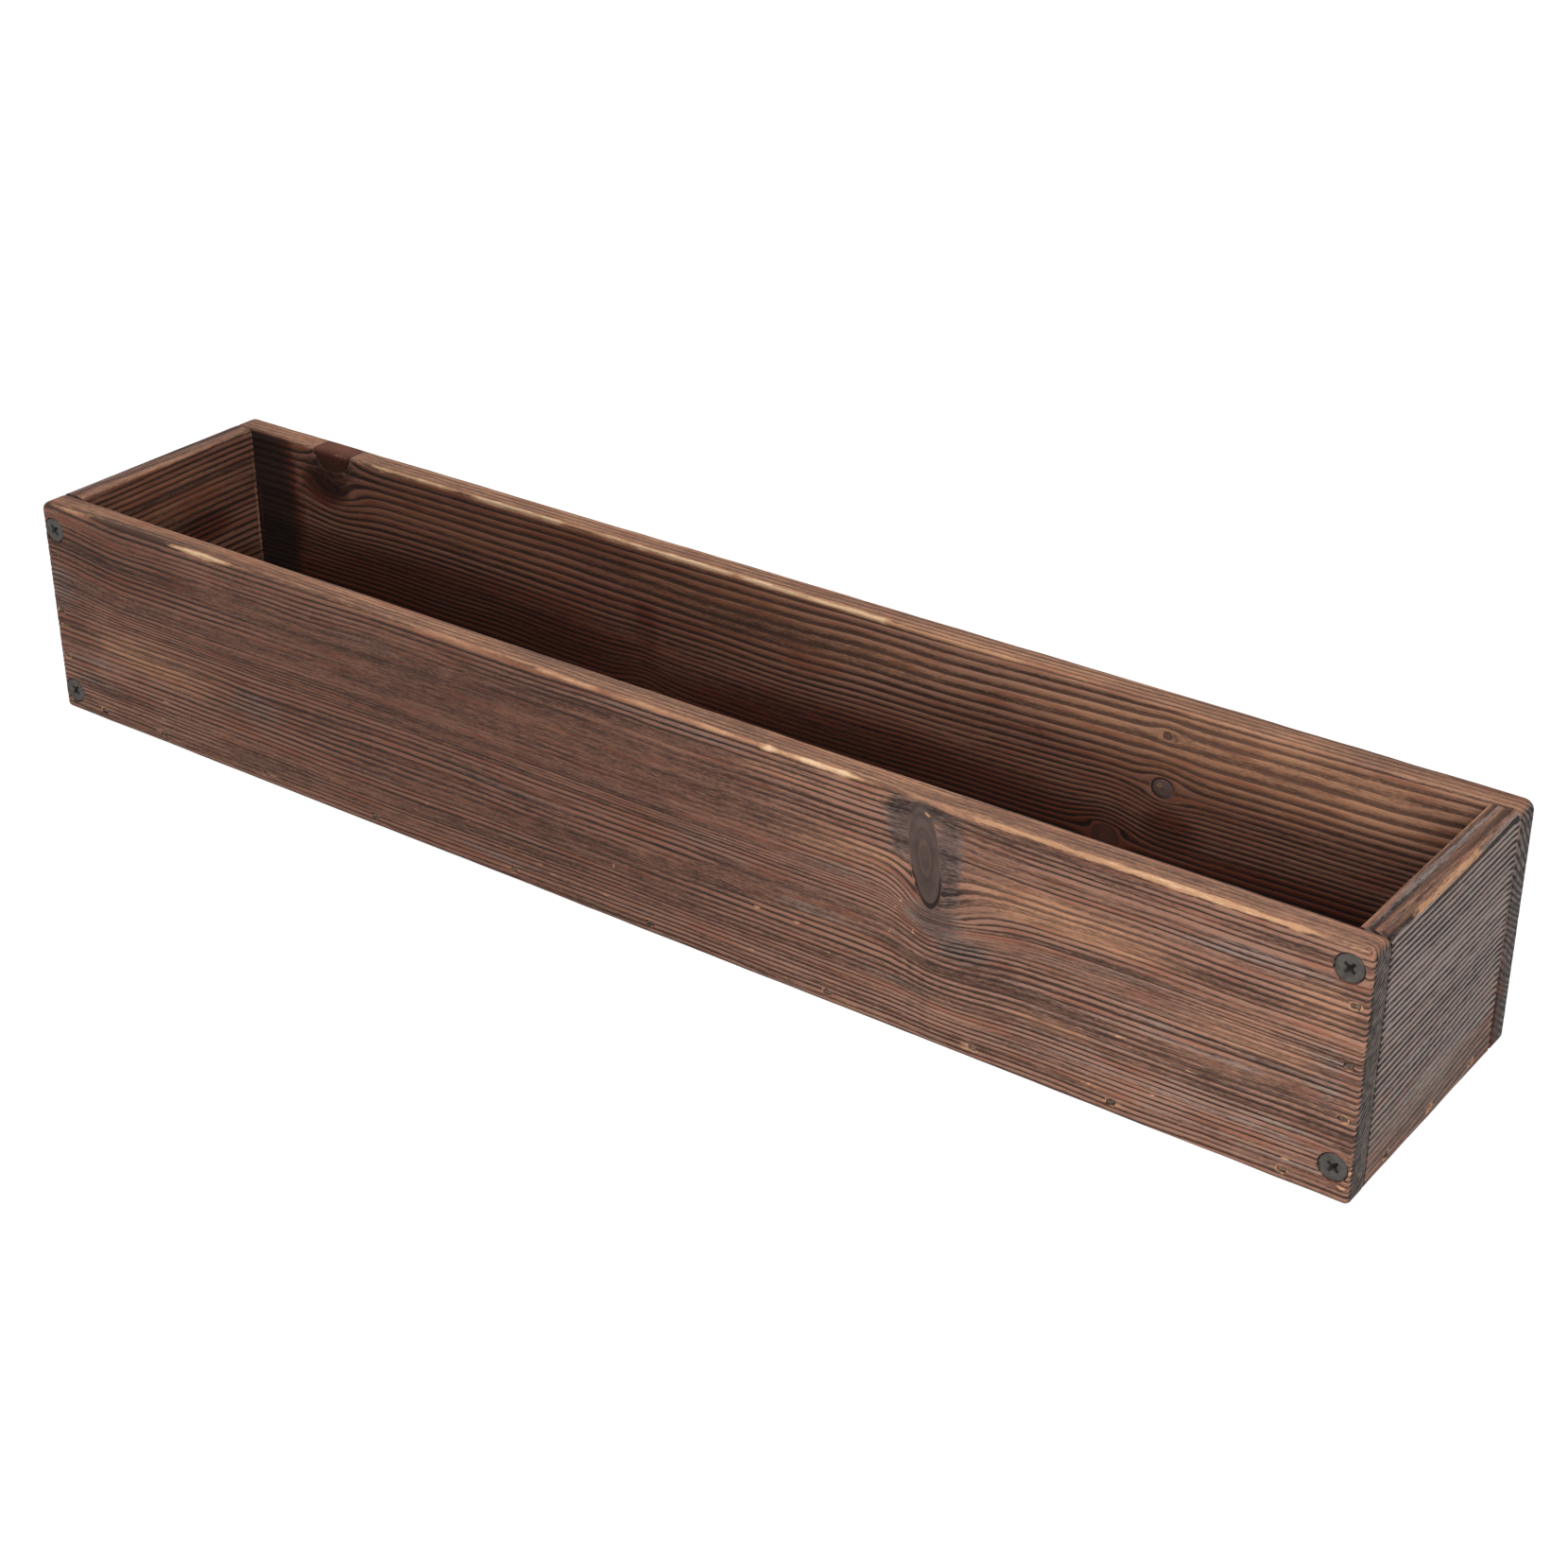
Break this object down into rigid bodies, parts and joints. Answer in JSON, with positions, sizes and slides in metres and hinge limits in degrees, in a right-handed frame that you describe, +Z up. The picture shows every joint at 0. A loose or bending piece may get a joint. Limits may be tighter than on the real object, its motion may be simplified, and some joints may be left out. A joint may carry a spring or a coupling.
{
  "type": "window box planter",
  "caption": "Long, low, open-topped planter box of torched and brushed softwood boards, screwed at the corners and nailed to a drained bottom board.",
  "frame": {"origin": "middle of the underside, on the surface that the box stands on", "axes": "+X along the box to the viewer's right, +Y away from the front, +Z up"},
  "size_m": [0.508, 0.102, 0.08],
  "materials": {
    "torched_front": "torched and wire-brushed softwood, red-brown with charred streaks, satin",
    "torched_back": "torched and wire-brushed softwood, darker brown with broad ridges, satin",
    "torched_end": "torched and deeply wire-brushed softwood, grey-brown, satin",
    "torched_bottom": "torched softwood, dark brown, matt",
    "steel_screw": "dull grey steel, smoked by the torch",
    "brad_wire": "dull tan-grey coated wire"
  },
  "bodies": {
    "root": {"back_board": "torched_back", "bottom_board": "torched_bottom", "brad_back_bottom_01": "brad_wire", "brad_back_bottom_02": "brad_wire", "brad_back_bottom_03": "brad_wire", "brad_back_bottom_04": "brad_wire", "brad_back_bottom_05": "brad_wire", "brad_back_bottom_06": "brad_wire", "brad_back_bottom_07": "brad_wire", "brad_back_bottom_08": "brad_wire", "brad_back_bottom_09": "brad_wire", "brad_back_bottom_10": "brad_wire", "brad_back_left_high": "brad_wire", "brad_back_left_low": "brad_wire", "brad_back_left_middle": "brad_wire", "brad_back_right_high": "brad_wire", "brad_back_right_low": "brad_wire", "brad_back_right_middle": "brad_wire", "brad_front_bottom_01": "brad_wire", "brad_front_bottom_02": "brad_wire", "brad_front_bottom_03": "brad_wire", "brad_front_bottom_04": "brad_wire", "brad_front_bottom_05": "brad_wire", "brad_front_bottom_06": "brad_wire", "brad_front_bottom_07": "brad_wire", "brad_front_bottom_08": "brad_wire", "brad_front_bottom_09": "brad_wire", "brad_front_bottom_10": "brad_wire", "brad_front_left_high": "brad_wire", "brad_front_left_low": "brad_wire", "brad_front_left_middle": "brad_wire", "brad_front_right_high": "brad_wire", "brad_front_right_low": "brad_wire", "brad_front_right_middle": "brad_wire", "brad_left_bottom_1": "brad_wire", "brad_left_bottom_2": "brad_wire", "brad_left_bottom_3": "brad_wire", "brad_right_bottom_1": "brad_wire", "brad_right_bottom_2": "brad_wire", "brad_right_bottom_3": "brad_wire", "front_board": "torched_front", "left_end_board": "torched_end", "right_end_board": "torched_end", "screw_back_left_lower": "steel_screw", "screw_back_left_upper": "steel_screw", "screw_back_right_lower": "steel_screw", "screw_back_right_upper": "steel_screw", "screw_front_left_lower": "steel_screw", "screw_front_left_upper": "steel_screw", "screw_front_right_lower": "steel_screw", "screw_front_right_upper": "steel_screw"}
  },
  "joints": []
}
